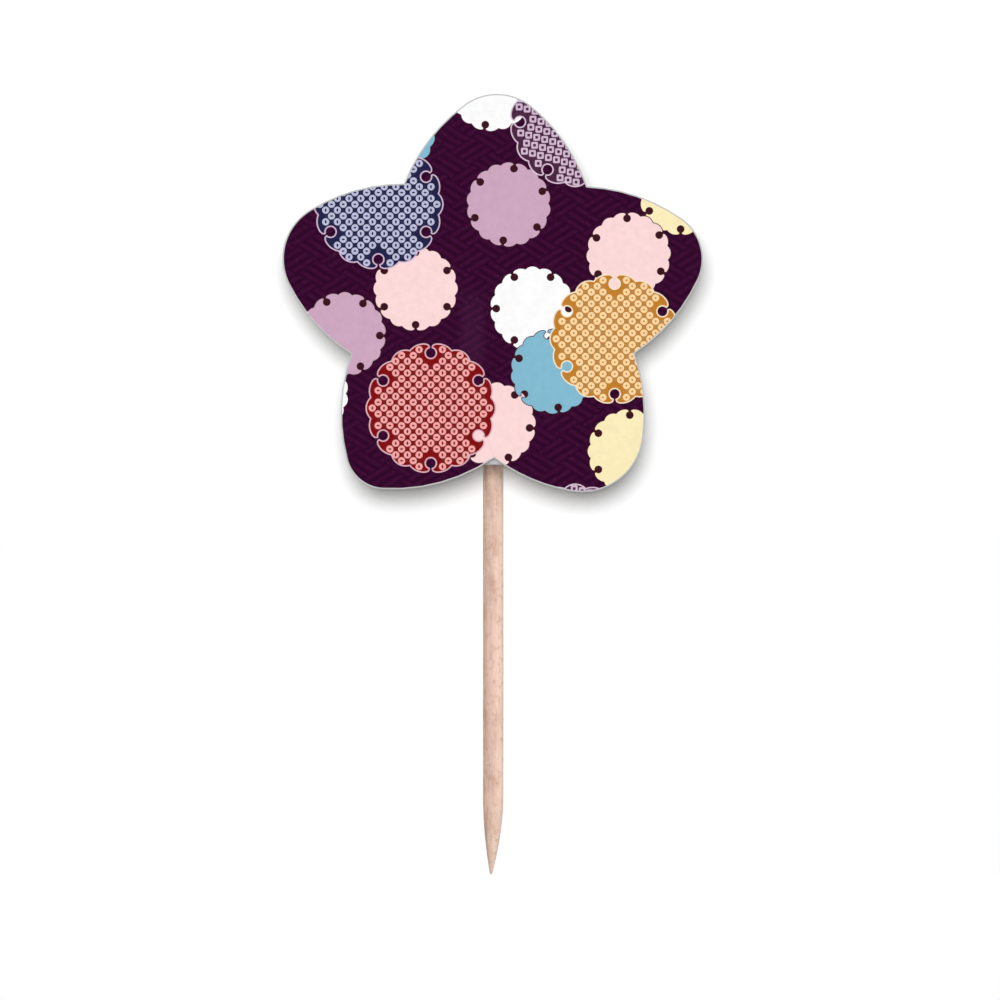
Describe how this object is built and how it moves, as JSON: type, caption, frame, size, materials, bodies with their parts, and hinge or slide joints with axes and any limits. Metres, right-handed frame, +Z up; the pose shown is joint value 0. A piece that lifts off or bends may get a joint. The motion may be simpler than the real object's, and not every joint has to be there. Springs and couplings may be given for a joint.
{
  "type": "cupcake pick",
  "caption": "Cupcake pick: a flat rounded card star with a printed, glossy face, held at its back on a straight pointed wooden stick.",
  "frame": {"origin": "point of the wooden stick, on the stick's axis", "axes": "+Z up along the stick towards the star, -Y the way the printed face looks, +X to the right as seen from the front"},
  "size_m": [0.0402, 0.0041, 0.0746],
  "materials": {
    "printed_card": "matte",
    "clear_film": "gloss",
    "grey_foam": "matte",
    "birch_wood": "matte",
    "white_paper": "matte"
  },
  "bodies": {
    "root": {"printed_card": "printed_card", "gloss_film": "clear_film", "foam_pad": "grey_foam", "toothpick": "birch_wood", "back_label": "white_paper"}
  },
  "joints": []
}
